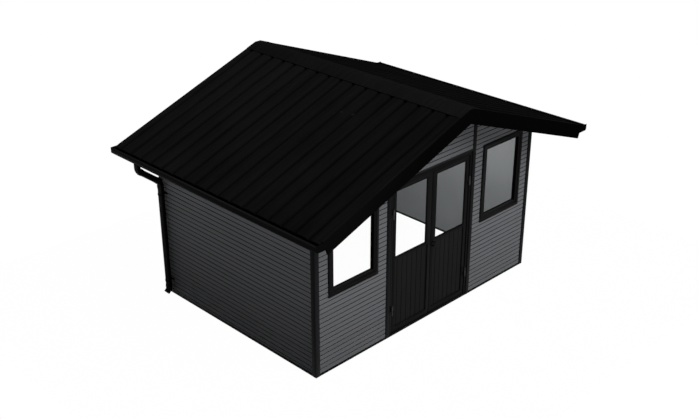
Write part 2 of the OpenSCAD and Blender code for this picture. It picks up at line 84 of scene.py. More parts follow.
# a material, or the world, with the nodes that make it up
class Finish:
    def __init__(self, name, world=None):
        self.material = world or bpy.data.materials.new(name)
        self.material.use_nodes = True
        self.tree = self.material.node_tree
        self.tree.nodes.clear()
        kind = "ShaderNodeOutputWorld" if world else "ShaderNodeOutputMaterial"
        self.output = self.tree.nodes.new(kind)

    # adds a node, with its settings set before its sockets, and gives one output or several
    def node(self, kind, settings=None, sockets=None, output=0):
        made = self.tree.nodes.new(kind)
        for key, value in (settings or {}).items():
            setattr(made, key, value)
        for key, value in (sockets or {}).items():
            if isinstance(value, Wire):
                self.tree.links.new(value.socket, made.inputs[key])
            elif made.inputs[key].type == "RGBA":
                made.inputs[key].default_value = (*value, 1.0)
            else:
                made.inputs[key].default_value = value
        if isinstance(output, tuple):
            return [Wire(self, made.outputs[key]) for key in output]
        return Wire(self, made.outputs[output])

    def maths(self, operation, *values):
        return self.node("ShaderNodeMath", {"operation": operation}, dict(enumerate(values)))

    # takes a value from one range to another, and stops at the ends
    def clamped(self, value, low, high, newLow=0.0, newHigh=1.0):
        return self.node("ShaderNodeMapRange", {"clamp": True}, {
            "Value": value, "From Min": low, "From Max": high, "To Min": newLow, "To Max": newHigh,
        })

    # sockets 6 and 7 of a Mix node, and its output 2, are the colours
    def mixed(self, share, first, second):
        return self.node("ShaderNodeMix", {"data_type": "RGBA"}, {0: share, 6: first, 7: second}, 2)

    def place(self):
        return self.node("ShaderNodeTexCoord", output="Object")

    def parts(self, vector, axes):
        return self.node("ShaderNodeSeparateXYZ", None, {"Vector": vector}, tuple(axes))

    def stretched(self, vector, scales):
        return self.node("ShaderNodeMapping", None, {"Vector": vector, "Scale": scales})

    def noise(self, vector, scale, detail, rough):
        return self.node("ShaderNodeTexNoise", None, {
            "Vector": vector, "Scale": scale, "Detail": detail, "Roughness": rough,
        })

    # the broad, slow patches in a coating
    def patches(self, where):
        return self.noise(where, scale=2.3, detail=4.0, rough=0.6)

    def bump(self, height, strength, distance):
        return self.node("ShaderNodeBump", None, {
            "Strength": strength, "Distance": distance, "Height": height,
        })

    # 1 for what the camera sees, also in glass and in polished metal
    def seen(self):
        camera, glossy, through = self.node("ShaderNodeLightPath", output=(
            "Is Camera Ray", "Is Glossy Ray", "Is Transmission Ray"))
        return self.maths("MAXIMUM", camera, self.maths("MAXIMUM", glossy, through))

    def show(self, shader):
        self.tree.links.new(shader.socket, self.output.inputs["Surface"])
        return self.material

    def finish(self, sockets):
        return self.show(self.node("ShaderNodeBsdfPrincipled", None, sockets))

    # a powder coating: a fine orange-peel skin, as rough as the two ends say
    def finishCoating(self, where, patches, colour, roughness, specular):
        skin = self.noise(where, scale=420.0, detail=2.0, rough=0.5)
        return self.finish({
            "Base Color": colour,
            "Roughness": self.clamped(patches, 0.25, 0.75, *roughness),
            "Specular IOR Level": specular,
            "Normal": self.bump(skin, strength=0.12, distance=0.0004),
        })


def shaded(tint, share):
    return tuple(channel * share for channel in tint)


# how boards vary: shares of the grain and of broad patches, the ends of their tone, and where
# along X and Z, in metres, the tone drifts: painted light along X, painted shade under the roof
boardTone = {
    "grain": 0.28,
    "patches": 0.22,
    "dark": 0.62,
    "pale": 1.38,
    "drift": (-1.5, 1.9),
    "eaves": (2.0, 2.75),
    "foot": (0.1, 0.9),
}


# boards: each row has its own tone, with a fine grain along its length; all are paler towards +X
# as painted light, darker under the roof as painted shade, and darker at the foot
def boardFinish(name, tint, pitch, start, upright=False, spread=0.12, specular=0.08,
                paler=0.0, eaves=0.0, foot=0.0):
    make = Finish(name)
    where = make.place()
    x, z = make.parts(where, "XZ")
    row = make.maths("FLOOR", ((x if upright else z) - start) / pitch)
    tone = make.node("ShaderNodeTexWhiteNoise", {"noise_dimensions": "1D"}, {"W": row})
    stretch = (26.0, 26.0, 1.2) if upright else (1.2, 1.2, 26.0)
    grain = make.noise(make.stretched(where, stretch), scale=6.0, detail=5.0, rough=0.6)
    broad = make.noise(where, scale=1.1, detail=2.0, rough=0.5)
    speck = make.noise(where, scale=160.0, detail=2.0, rough=0.5)
    level = (0.5 - spread / 2) + tone * spread
    level = level + (grain - 0.5) * boardTone["grain"] + (broad - 0.5) * boardTone["patches"]
    # painted light: paler towards +X; painted shade: darker under the roof
    level = level + make.clamped(x, *boardTone["drift"], -paler, paler)
    level = level + make.clamped(z, *boardTone["eaves"], 0.0, -eaves)
    level = level + make.clamped(z, *boardTone["foot"], -foot, 0.0)
    dark, pale = (shaded(tint, boardTone[end]) for end in ("dark", "pale"))
    return make.finish({
        "Base Color": make.mixed(level, dark, pale),
        "Roughness": make.clamped(grain, 0.3, 0.7, 0.52, 0.72),
        "Specular IOR Level": specular,
        "Normal": make.bump(grain * 0.7 + speck * 0.3, strength=0.25, distance=0.0012),
    })


# powder-coated metal, with wisps of dust
def coatedFinish(name, tint, rough, specular, dustShare=0.03):
    make = Finish(name)
    where = make.place()
    broad = make.patches(where)
    wisps = make.noise(make.stretched(where, (3.0, 3.0, 0.6)), scale=3.0, detail=4.0, rough=0.6)
    tone = make.mixed(make.clamped(broad, 0.3, 0.7), shaded(tint, 0.8), shaded(tint, 1.2))
    dust = (0.05, 0.048, 0.045)
    colour = make.mixed(make.clamped(wisps, 0.5, 0.85) * dustShare, tone, dust)
    return make.finishCoating(where, broad, colour, (rough - 0.08, rough + 0.08), specular)


# black roof trim, dusty towards the left eave
def trimFinish(name, tint, dusty):
    make = Finish(name)
    where = make.place()
    [x] = make.parts(where, "X")
    broad = make.patches(where)
    dustFrom, dustFull = -0.7, -1.9
    colour = make.mixed(make.clamped(x, dustFrom, dustFull) * (0.7 + 0.6 * broad), tint, dusty)
    return make.finishCoating(where, broad, colour, roughness=(0.45, 0.6), specular=0.0)


# bands of painted light and shade on a window casing: where they fade in and are full, in metres
casingBands = {
    "bottom": (0.084, 0.078),  # above the bottom of the casing
    "right": (0.05, 0.04),  # inwards from its right edge
    "rightHighlight": 2.2,
}


# window casing: a painted highlight along its right side, and along the bottom a darker band as
# painted shade or a paler band as painted light
def casingFinish(name, tint, node, bottomShading):
    make = Finish(name)
    where = make.place()
    low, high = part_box(node)
    x, z = make.parts(where, "XZ")
    broad = make.patches(where)
    atBottom = make.clamped(z, *(low.z + up for up in casingBands["bottom"]))
    atRight = make.clamped(x, *(high.x - inwards for inwards in casingBands["right"]))
    tone = make.mixed(make.clamped(broad, 0.3, 0.7), shaded(tint, 0.82), shaded(tint, 1.18))
    tone = make.mixed(atBottom, tone, shaded(tint, bottomShading))
    tone = make.mixed(atRight, tone, shaded(tint, casingBands["rightHighlight"]))
    return make.finishCoating(where, broad, tone, roughness=(0.42, 0.58), specular=0.025)


# coated roof sheet: matt black with faint streaks down the slope, paler towards the back
def roofFinish(name, tint, backPaler=0.0):
    make = Finish(name)
    where = make.place()
    [y] = make.parts(where, "Y")
    grit = make.noise(where, scale=650.0, detail=2.0, rough=0.6)
    streaks = make.noise(make.stretched(where, (0.7, 9.0, 0.7)), scale=2.4, detail=5.0, rough=0.62)
    broad = make.noise(where, scale=0.9, detail=3.0, rough=0.5)
    level = make.clamped(streaks * 0.6 + broad * 0.4, 0.35, 0.65)
    frontTone, backTone = (make.mixed(level, shaded(tint, 0.75 + paler), shaded(tint, 1.3 + paler))
                   for paler in (0.0, backPaler))
    front, back = -1.6, 1.4
    return make.finish({
        "Base Color": make.mixed(make.clamped(y, front, back), frontTone, backTone),
        "Roughness": make.clamped(streaks, 0.3, 0.7, 0.58, 0.74),
        "Specular IOR Level": 0.0,
        "Normal": make.bump(grit, strength=0.16, distance=0.0005),
    })


# clear glass with a faint film of dust
def glassFinish(name):
    make = Finish(name)
    where = make.place()
    film = make.noise(where, scale=5.0, detail=5.0, rough=0.65)
    smear = make.noise(make.stretched(where, (2.0, 2.0, 9.0)), scale=3.0, detail=3.0, rough=0.5)
    return make.finish({
        "Base Color": make.mixed(film, (0.30, 0.33, 0.33), (0.62, 0.66, 0.66)),
        "Roughness": make.clamped(smear, 0.3, 0.8, 0.02, 0.12),
        "Alpha": 0.012,
    })


# rubber of the gaskets and strips: nearly black, and matt
def rubberFinish(name):
    make = Finish(name)
    grain = make.noise(make.place(), scale=300.0, detail=3.0, rough=0.6)
    return make.finish({
        "Base Color": make.mixed(grain, (0.0012, 0.0012, 0.0012), (0.003, 0.003, 0.003)),
        "Roughness": make.clamped(grain, 0.3, 0.7, 0.7, 0.85),
        "Specular IOR Level": 0.03,
        "Normal": make.bump(grain, strength=0.2, distance=0.0004),
    })


# flat sheet behind the boards, seen from inside
def liningFinish(name, tint):
    make = Finish(name)
    where = make.place()
    cloud = make.noise(where, scale=1.6, detail=4.0, rough=0.55)
    fibre = make.noise(make.stretched(where, (4.0, 4.0, 60.0)), scale=4.0, detail=4.0, rough=0.6)
    level = make.clamped(cloud * 0.7 + fibre * 0.3, 0.3, 0.7)
    return make.finish({
        "Base Color": make.mixed(level, shaded(tint, 0.92), shaded(tint, 1.08)),
        "Roughness": make.clamped(fibre, 0.3, 0.7, 0.6, 0.75),
        "Specular IOR Level": 0.25,
        "Normal": make.bump(fibre, strength=0.15, distance=0.0006),
    })


# stained timber of the beams, grain along Y
def timberFinish(name, tint):
    make = Finish(name)
    where = make.place()
    rings = make.noise(make.stretched(where, (30.0, 1.4, 30.0)), scale=3.0, detail=5.0, rough=0.6)
    broad = make.noise(where, scale=2.0, detail=3.0, rough=0.5)
    level = make.clamped(rings * 0.7 + broad * 0.3, 0.3, 0.7)
    return make.finish({
        "Base Color": make.mixed(level, shaded(tint, 0.6), shaded(tint, 1.4)),
        "Roughness": make.clamped(rings, 0.3, 0.7, 0.6, 0.8),
        "Normal": make.bump(rings, strength=0.3, distance=0.001),
    })


# a coated finish is given its tint, its roughness, its shine and its share of dust
finishes = {
    # dark backing in the seams, and painted shade on the board faces inside the grooves
    "seamsAndGrooveShade": coatedFinish("seam backing and painted groove shade", (0.003, 0.003, 0.003), 0.7, 0.0),
    "lining": liningFinish("inner lining", (0.60, 0.625, 0.635)),
    "posts": coatedFinish("post coating", (0.0096, 0.0098, 0.0112), 0.5, 0.03),
    "shadedPostSides": coatedFinish("post side coating with painted shade", (0.0066, 0.0067, 0.0076), 0.5, 0.02),
    "surround": coatedFinish("door surround coating", (0.0040, 0.0042, 0.0048), 0.5, 0.03, 0.02),
    "sill": coatedFinish("sill coating", (0.0030, 0.0030, 0.0033), 0.5, 0.03, 0.02),
    "frames": coatedFinish("frame coating", (0.0034, 0.0034, 0.0037), 0.5, 0.025, 0.02),
    # the right casing is tinted darker than the left as painted shade; the left bottom band is
    # painted shade, the right one painted light
    "leftWindow": casingFinish("left window coating with painted light and shade", (0.0034, 0.0034, 0.0037),
                               "window_frame_left", bottomShading=0.62),
    "rightWindow": casingFinish("right window coating with painted light and shade", (0.0021, 0.0021, 0.0023),
                                "window_frame_right", bottomShading=1.35),
    "jambs": coatedFinish("jamb coating with painted shade", (0.0016, 0.0016, 0.0018), 0.5, 0.01, 0.02),
    "litLedges": coatedFinish("frame coating on ledges", (0.0170, 0.0170, 0.0175), 0.5, 0.02, 0.02),
    "shadedFrames": coatedFinish("frame coating with painted shade in the recesses", (0.0012, 0.0012, 0.0013),
                               0.6, 0.0, 0.01),
    "leaves": coatedFinish("leaf coating", (0.0034, 0.0034, 0.0036), 0.5, 0.025, 0.02),
    "weatherBar": coatedFinish("weather bar coating with painted light on top", (0.024, 0.0245, 0.0255), 0.5, 0.04),
    "doorLining": coatedFinish("door lining", (0.008, 0.008, 0.008), 0.6, 0.03),
    "roof": roofFinish("roof coating", (0.0080, 0.0080, 0.0080), backPaler=0.3),
    # the grooves, and the whole right slope, are painted darker as painted shade
    "grooves": roofFinish("groove coating with painted shade", (0.0047, 0.0047, 0.0047), backPaler=0.2),
    "shadedRightRoof": roofFinish("right roof coating with painted shade", (0.0062, 0.0062, 0.0062)),
    "shadedRightGrooves": roofFinish("right groove coating with painted shade", (0.0016, 0.0016, 0.0016)),
    "ridge": roofFinish("ridge coating", (0.0106, 0.0106, 0.0106)),
    "trim": trimFinish("roof trim coating", (0.0016, 0.0016, 0.0016), (0.0035, 0.0035, 0.0035)),
    "rainwater": coatedFinish("gutter coating", (0.0032, 0.0032, 0.0032), 0.42, 0.01, 0.01),
    "litPipeSides": coatedFinish("pipe coating with painted light", (0.0200, 0.0200, 0.0206), 0.42, 0.01, 0.01),
    "fittings": coatedFinish("grip coating", (0.003, 0.003, 0.003), 0.38, 0.03),
    "hinges": coatedFinish("hinge coating", (0.034, 0.035, 0.037), 0.38, 0.1),
    "hingePlates": coatedFinish("hinge plate coating", (0.0080, 0.0080, 0.0084), 0.4, 0.05),
    "screws": coatedFinish("screw coating", (0.012, 0.012, 0.012), 0.35, 0.1),
    "timber": timberFinish("stained timber", (0.02, 0.0195, 0.019)),
    "glass": glassFinish("window glass"),
    "rubber": rubberFinish("glazing rubber"),
}
print("finishes made, all but the boards:", len(finishes))


def clearSelection():
    if bpy.context.object and bpy.context.object.mode != "OBJECT":
        bpy.ops.object.mode_set(mode="OBJECT")
    bpy.ops.object.select_all(action="DESELECT")


def useOnly(piece):
    clearSelection()
    piece.select_set(True)
    bpy.context.view_layer.objects.active = piece


def settle(piece):
    useOnly(piece)
    bpy.ops.object.transform_apply(location=True, rotation=True, scale=True)


def addBlock(name, low, high):
    clearSelection()
    low, high = Vector(low), Vector(high)
    bpy.ops.mesh.primitive_cube_add(size=1, location=(low + high) / 2)
    piece = bpy.context.object
    piece.name = name
    piece.scale = high - low
    settle(piece)
    return piece


# opens the piece in edit mode, with everything selected or nothing
def openEdit(piece, action="SELECT"):
    useOnly(piece)
    bpy.ops.object.mode_set(mode="EDIT")
    bpy.ops.mesh.select_all(action=action)


def closeEdit():
    bpy.ops.object.mode_set(mode="OBJECT")


# opens the piece and selects the faces or edges that pass the test
def pick(piece, kind, test):
    openEdit(piece, "DESELECT")
    bpy.ops.mesh.select_mode(type=kind)
    shape = bmesh.from_edit_mesh(piece.data)
    for part in (shape.faces if kind == "FACE" else shape.edges):
        part.select_set(bool(test(part)))
    shape.select_flush_mode()
    bmesh.update_edit_mesh(piece.data)


# whether all of an edge lies at this place along Y
def edgeAt(edge, y):
    return all(abs(vertex.co.y - y) < tiny for vertex in edge.verts)


# rounds the edges that pass the test
def softenEdges(piece, width, test):
    pick(piece, "EDGE", test)
    bpy.ops.mesh.bevel(offset=width, segments=2, affect="EDGES")
    closeEdit()


def smooth(piece):
    useOnly(piece)
    bpy.ops.object.shade_smooth_by_angle(angle=creaseAngle)


def applyModifier(piece, kind, **settings):
    useOnly(piece)
    made = piece.modifiers.new(kind.title(), kind)
    for key, value in settings.items():
        setattr(made, key, value)
    bpy.ops.object.modifier_apply(modifier=made.name)


def repeat(piece, count, step):
    applyModifier(piece, "ARRAY", count=count, use_relative_offset=False,
                  use_constant_offset=True, constant_offset_displace=step)


def subtract(piece, tool):
    applyModifier(piece, "BOOLEAN", operation="DIFFERENCE", solver="EXACT", object=tool)
    bpy.data.objects.remove(tool)


def cutHole(piece, low, high):
    subtract(piece, addBlock("cutter", low, high))


# cuts away what lies on the side the normal points to, and closes the cut
def cutBeyond(piece, point, normal):
    openEdit(piece)
    bpy.ops.mesh.select_mode(type="FACE")
    bpy.ops.mesh.bisect(plane_co=point, plane_no=normal, use_fill=True, clear_outer=True)
    closeEdit()


def copyOf(piece, name):
    twin = piece.copy()
    twin.data = piece.data.copy()
    twin.name = name
    bpy.context.scene.collection.objects.link(twin)
    return twin


def joined(name, pieces):
    clearSelection()
    for piece in pieces:
        piece.select_set(True)
    bpy.context.view_layer.objects.active = pieces[0]
    bpy.ops.object.join()
    pieces[0].name = name
    return pieces[0]


def paint(piece, *names):
    piece.data.materials.clear()
    for name in names:
        piece.data.materials.append(finishes[name])


# paints each face with the one of the finishes that is chosen for its normal
def paintFaces(piece, names, choose):
    paint(piece, *names)
    for polygon in piece.data.polygons:
        polygon.material_index = names.index(choose(polygon.normal))


# gives the faces that pass the test another finish; the test gets the centre of a face and its
# normal, whose parts run from -1 to 1
def repaint(name, finish, test):
    piece = bpy.data.objects[name]
    piece.data.materials.append(finishes[finish])
    for polygon in piece.data.polygons:
        if test(polygon.center, polygon.normal):
            polygon.material_index = len(piece.data.materials) - 1


def finishPiece(piece, body, slot, *replaced):
    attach(piece, body)
    if replaced:
        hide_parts(*replaced)


# a copy of a CAD node with its triangles merged, free of the frame's marks
def nodeCopy(node, name):
    piece = copyOf(nodes[node], name)
    piece.parent = None
    for key in list(piece.keys()):
        if key.startswith("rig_"):
            del piece[key]
    piece.hide_render = False
    piece.hide_viewport = False
    openEdit(piece)
    bpy.ops.mesh.remove_doubles(threshold=0.00002)
    bpy.ops.mesh.dissolve_limited(angle_limit=math.radians(1.0))
    closeEdit()
    return piece


# widths of the rounded edges, in metres
roundings = {
    "posts": 0.003,
    "rails": 0.002,
    "joinery": 0.0022,
    "roofTrim": 0.0025,
    "timber": 0.003,
    "sheets": 0.0012,
    "fittings": 0.0008,
}


# a CAD node with its edges rounded, in its own finish
def roundedNode(node, name, rounding, finish, slot, body=root):
    piece = nodeCopy(node, name)
    applyModifier(piece, "BEVEL", width=roundings[rounding], segments=2, limit_method="ANGLE",
                  angle_limit=creaseAngle, harden_normals=False)
    smooth(piece)
    paint(piece, finish)
    finishPiece(piece, body, slot, node)
    return piece


# boarded walls, in metres
cladding = {
    "tint": (0.135, 0.139, 0.147),
    # painted light, paler towards +X, and painted shade under the roof
    "paler": 0.08,  # change of tone towards +X
    "eaves": 0.17,  # and under the roof
    "pitch": 0.0623,
    "gap": 0.009,
    "depth": 0.013,
    "edge": 0.0014,
    "thickness": 0.04,  # of the whole wall
    "coreLap": 0.001,  # how far the core runs into the backs of the boards
    "casingLap": 0.0177,  # how far a casing overlaps the opening of its window
    "cutterReach": 0.2,
    "gableSeam": 0.0254,  # heights of a seam, from which the rows are counted
    "overDoorSeam": 0.0558,
    "sideSeam": 0.0612,
}
finishes["boards"] = boardFinish("cladding boards", cladding["tint"], cladding["pitch"],
                                 cladding["gableSeam"],
                                 paler=cladding["paler"], eaves=cladding["eaves"])
wallFinishes = ("boards", "seamsAndGrooveShade", "lining")

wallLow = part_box("left_wall")[0].z
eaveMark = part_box("corner_posts")[1].z
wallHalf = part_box("corner_posts")[1].x
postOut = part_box("panel_posts")[1].x
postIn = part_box("door_frame")[1].x
slope = (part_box("panel_posts")[1].z - eaveMark) / (wallHalf - postIn - seat)


def roofUnder(x):
    return eaveMark + slope * (wallHalf - abs(x))


# boards between two points along X, stacked upwards so that a seam falls at the given height;
# face is -1 where they look towards -Y, and 1 where they look towards +Y
def boardStack(name, left, right, low, high, front, face, seam):
    pitch, gap, depth = cladding["pitch"], cladding["gap"], cladding["depth"]
    first = seam + pitch * math.floor((low - seam) / pitch)
    start = (left, front if face < 0 else front - depth, first + gap / 2)
    end = (right, front + depth if face < 0 else front, first + pitch - gap / 2)
    board = addBlock(name, start, end)
    softenEdges(board, cladding["edge"], lambda edge: edgeAt(edge, front)
                and abs(edge.verts[0].co.z - edge.verts[1].co.z) < tiny)
    # the top and bottom faces of each board, inside the groove, take the seam finish as painted
    # shade
    paintFaces(board, wallFinishes, lambda normal: "seamsAndGrooveShade" if abs(normal.z) > 0.95 else "boards")
    repeat(board, math.ceil((high - first) / pitch), (0, 0, pitch))
    cutBeyond(board, (0, 0, low), (0, 0, -1))
    return board


# cuts a piece of a gable that runs from left to right to the slopes of the roof
def trimToRoof(piece, left, right):
    for sign, end in ((-1, left), (1, right)):
        if sign * end > 0:
            cutBeyond(piece, (0, 0, roofUnder(0)), (sign * slope, 0, 1))


# the opening of a window, which its casing overlaps on all sides
def cutWindow(piece, window, front):
    low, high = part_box(window)
    lap, reach = cladding["casingLap"], cladding["cutterReach"]
    cutHole(piece, (low.x + lap, front - reach, low.z + lap),
            (high.x - lap, front + reach, high.z - lap))


# each span of a gable runs from left to right, and up from its own height
def gableCladding(name, node, spans, front, face, window=None, seam=cladding["gableSeam"]):
    pieces = []
    for left, right, low in spans:
        high = max(roofUnder(left), roofUnder(right), roofUnder(0) if left < 0 < right else 0)
        boards = boardStack(name, left, right, low, high, front, face, seam)
        coreFront = front - face * (cladding["depth"] - cladding["coreLap"])
        near, far = sorted((coreFront, front - face * cladding["thickness"]))
        core = addBlock(name + "Core", (left, near, low), (right, far, high))
        for piece in (boards, core):
            trimToRoof(piece, left, right)
            if window:
                cutWindow(piece, window, front)
            for beam in ("ridge_beam", "purlins"):
                subtract(piece, nodeCopy(beam, "cutter"))
        paintFaces(core, wallFinishes,
                   lambda normal: "seamsAndGrooveShade" if normal.y * face > 0.5 else "lining")
        pieces += [boards, core]
    finishPiece(joined(name, pieces), root, "cladding", node)


# side walls: the same boards, made along X and turned to run along Y
def sideCladding(name, node, face):
    low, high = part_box(node)
    half = (high.y - low.y) / 2
    boards = boardStack(name, -half, half, low.z, high.z, 0.0, -1, cladding["sideSeam"])
    cutBeyond(boards, (0, 0, high.z), (0, 0, 1))
    core = addBlock(name + "Core", (-half, cladding["depth"] - cladding["coreLap"], low.z),
                    (half, cladding["thickness"], high.z))
    paintFaces(core, wallFinishes, lambda normal: "seamsAndGrooveShade" if normal.y < -0.5 else "lining")
    piece = joined(name, [boards, core])
    useOnly(piece)
    piece.rotation_euler = (0, 0, math.radians(90 * face))
    piece.location = (low.x if face < 0 else high.x, (low.y + high.y) / 2, 0)
    settle(piece)
    finishPiece(piece, root, "cladding", node)


frontY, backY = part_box("front_wall_left")[0].y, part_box("back_wall")[1].y
for side in signs:
    low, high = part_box("front_wall_" + side)
    gableCladding("frontCladding" + side.title(), "front_wall_" + side, [(low.x, high.x, wallLow)],
                  frontY, -1, "window_frame_" + side)
overLow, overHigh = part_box("front_wall_over_door")
gableCladding("overDoorCladding", "front_wall_over_door", [(overLow.x, overHigh.x, overLow.z)],
              frontY, -1, seam=cladding["overDoorSeam"])
backLow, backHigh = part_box("back_wall")
gableCladding("backCladding", "back_wall", [
    (backLow.x, -postOut - seat, wallLow),
    (overLow.x, overHigh.x, wallLow),
    (postOut + seat, backHigh.x, wallLow),
], backY, 1)
for side, sign in signs.items():
    sideCladding(side + "Cladding", side + "_wall", sign)
print("walls boarded")


# CAD nodes that are kept as they are, with rounded edges
for node, name, rounding, finish, slot in (
        ("base_rails", "baseRails", "rails", "sill", "frame_metal"),
        ("corner_posts", "cornerPosts", "posts", "posts", "frame_metal"),
        ("panel_posts", "panelPosts", "posts", "surround", "frame_metal"),
        ("door_sill", "doorSill", "rails", "sill", "frame_metal"),
        ("door_frame", "doorFrame", "joinery", "frames", "joinery"),
        ("weather_bar", "weatherBar", "rails", "weatherBar", "joinery"),
        ("window_frame_left", "leftWindowFrame", "joinery", "leftWindow", "joinery"),
        ("window_frame_right", "rightWindowFrame", "joinery", "rightWindow", "joinery"),
        ("frame_hinges", "jambHinges", "fittings", "hingePlates", "fittings"),
        ("roof_sheet_left", "leftRoofSheet", "sheets", "roof", "roof_metal"),
        ("roof_sheet_right", "rightRoofSheet", "sheets", "shadedRightRoof", "roof_metal"),
        ("ridge_cap", "ridgeCap", "sheets", "ridge", "roof_metal"),
        ("barge_boards_front", "bargeBoardsFront", "roofTrim", "trim", "roof_metal"),
        ("barge_boards_back", "bargeBoardsBack", "roofTrim", "trim", "roof_metal"),
        ("fascia_boards", "fasciaBoards", "roofTrim", "trim", "roof_metal"),
        ("ridge_beam", "ridgeBeam", "timber", "timber", "roof_timber"),
        ("purlins", "purlinBeams", "timber", "timber", "roof_timber"),
        ("gutter_left", "leftGutter", "fittings", "rainwater", "rainwater"),
        ("gutter_right", "rightGutter", "fittings", "rainwater", "rainwater"),
        ("downpipe_left", "leftDownpipe", "fittings", "litPipeSides", "rainwater"),
        ("downpipe_right", "rightDownpipe", "fittings", "litPipeSides", "rainwater"),
        ("pipe_clips", "pipeClips", "fittings", "rainwater", "rainwater")):
    roundedNode(node, name, rounding, finish, slot)

# roof, in metres
roof = {
    "ridgeHalf": 0.045,  # half the flat along the ridge
    "grooveDrop": 0.008,  # faces further below the slope of the roof lie in a groove
}
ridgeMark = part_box("barge_boards_front")[1].z


def inGroove(centre, normal):
    drop = ridgeMark - slope * (abs(centre.x) - roof["ridgeHalf"]) - centre.z
    return drop > roof["grooveDrop"] and normal.z > 0.2


# faces down in the grooves of the sheets are painted darker as painted shade
repaint("leftRoofSheet", "grooves", inGroove)
repaint("rightRoofSheet", "shadedRightGrooves", inGroove)
for name in ("bargeBoardsFront", "bargeBoardsBack"):
    repaint(name, "roof", lambda centre, normal: normal.z > 0.5)
# the ridge cap's steep sides take the groove coating as painted shade
repaint("ridgeCap", "grooves", lambda centre, normal: abs(normal.x) > 0.8)

# where the frames' faces with painted shade and painted light lie, in metres
frameFaces = {
    "jambFrom": 0.69,  # from the middle of the doorway
    "ledgeHeight": 0.1,  # above the bottom of a casing
    "revealWidth": 0.15,  # inwards from the right edge of a casing
}
# the posts' sides, and the front of the right corner post, are painted darker as painted shade
repaint("cornerPosts", "shadedPostSides", lambda centre, normal: abs(normal.x) > 0.6)
repaint("cornerPosts", "frames", lambda centre, normal: normal.y < -0.6 and centre.x > 0)
# the weather bar's top keeps its paler coating as painted light from above; its front and underside
# take the frame coating
repaint("weatherBar", "frames", lambda centre, normal: normal.z < 0.3)
# the door frame's jambs, out from the doorway, are painted darker as painted shade
repaint("doorFrame", "jambs", lambda centre, normal: abs(centre.x) > frameFaces["jambFrom"])
for side in signs:
    low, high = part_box("window_frame_" + side)
    ledgeTop, revealFrom = low.z + frameFaces["ledgeHeight"], high.x - frameFaces["revealWidth"]
    name = side + "WindowFrame"
    # upward ledges near the bottom of a casing are painted paler as painted light, and the
    # left-facing reveal by the right edge darker as painted shade
    repaint(name, "litLedges", lambda centre, normal: normal.z > 0.4 and centre.z < ledgeTop)
    repaint(name, "shadedFrames", lambda centre, normal: normal.x < -0.5 and centre.x > revealFrom)
    # the gutters' front end plates take the darker trim coating as painted shade
    repaint(side + "Gutter", "trim", lambda centre, normal: normal.y < -0.9)
    # the downpipes' faces turned to +X or -Y take the darker gutter coating as painted shade; the
    # rest keep the paler pipe coating as painted light
    repaint(side + "Downpipe", "rainwater", lambda centre, normal: normal.x - normal.y > 0.3)

# door leaves, in metres
leaves = {
    "stileFace": 0.052,  # inner face of the meeting stile, from the middle
    "recessReach": 0.1,  # of the cutter, from the middle and from the panel
    "recessBack": 0.0008,  # what is left in front of the CAD panel
    "outerStile": 0.66,  # where the outer stile begins, from the middle
    "railHeight": 0.2,  # of the rail over the panel
}
for side, sign in signs.items():
    body, name = side + "_door", side + "DoorLeaf"
    leaf = roundedNode(side + "_door_leaf", name, "joinery", "leaves", "joinery", body)
    panelLow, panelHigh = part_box(side + "_door_panel")
    left, right = sorted((sign * leaves["stileFace"], sign * leaves["recessReach"]))
    cutHole(leaf, (left, panelLow.y - leaves["recessReach"], panelLow.z + rebateLap),
            (right, panelLow.y - leaves["recessBack"], panelHigh.z - rebateLap))
    # inner faces of the stiles round the glass, and the top of the rail over the panel, are painted
    # darker as painted shade
    repaint(name, "shadedFrames", lambda centre, normal: normal.x < -0.5 and centre.z > panelHigh.z
            and abs(centre.x) < leaves["outerStile"])
    repaint(name, "shadedFrames", lambda centre, normal: normal.z > 0.5
            and 0 < centre.z - panelHigh.z < leaves["railHeight"])
    roundedNode(side + "_door_hinges", side + "LeafHinges", "fittings", "hingePlates",
                "fittings", body)
roundedNode("door_handle", "doorGrips", "joinery", "fittings", "fittings", "right_door")
for name in ("window_glass_left", "window_glass_right", "left_door_glass", "right_door_glass"):
    paint(nodes[name], "glass")

# hinges, in metres
hinges = {
    "barrelInset": 0.0447,  # middle of a barrel, from the end of the sill
    "barrelBack": 0.009,  # and from the front of the hinge
    "barrelRadius": 0.0093,
    "height": 0.124,
    "pinShort": 0.008,  # how far the pin ends below the top of its hinge
    "plateThickness": 0.003,
    "screwInset": 0.013,
    "screwSteps": (0.016, 0.048),  # up and down from the middle
}
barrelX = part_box("door_sill")[1].x - hinges["barrelInset"]
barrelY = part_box("right_door_hinges")[0].y + hinges["barrelBack"]


def onBarrel(centre, normal):
    outwards = Vector((abs(centre.x) - barrelX, centre.y - barrelY))
    return abs(normal.z) < 0.5 and outwards.length < hinges["barrelRadius"]


for name in ("jambHinges", "leftLeafHinges", "rightLeafHinges"):
    repaint(name, "hinges", onBarrel)
print("frame, roof and rainwater goods dressed")


# screws, in metres
screws = {
    "corners": 20,
    "radius": 0.0042,
    "height": 0.0014,
    "edge": 0.4,  # share of the height that is rounded
    "socketRadius": 0.002,
    "clipThickness": 0.0043,  # of the clips that they hold
    "clipBack": 0.009,  # from the front of the clips
    "clipInset": 0.011,  # from the top and the bottom of the clips
}


# a disc that lies along Y
def addDisc(name, corners, radius, depth, y):
    clearSelection()
    bpy.ops.mesh.primitive_cylinder_add(vertices=corners, radius=radius, depth=depth,
                                        location=(0, y, 0), rotation=(math.radians(90), 0, 0))
    piece = bpy.context.object
    piece.name = name
    return piece


# a round head with a six-sided socket, at the origin and facing -Y
def screwHead(name):
    height = screws["height"]
    head = addDisc(name, screws["corners"], screws["radius"], height, -height / 2)
    settle(head)
    softenEdges(head, height * screws["edge"], lambda edge: edgeAt(edge, -height))
    subtract(head, addDisc("cutter", 6, screws["socketRadius"], height, -height))
    smooth(head)
    paint(head, "screws")
    return head


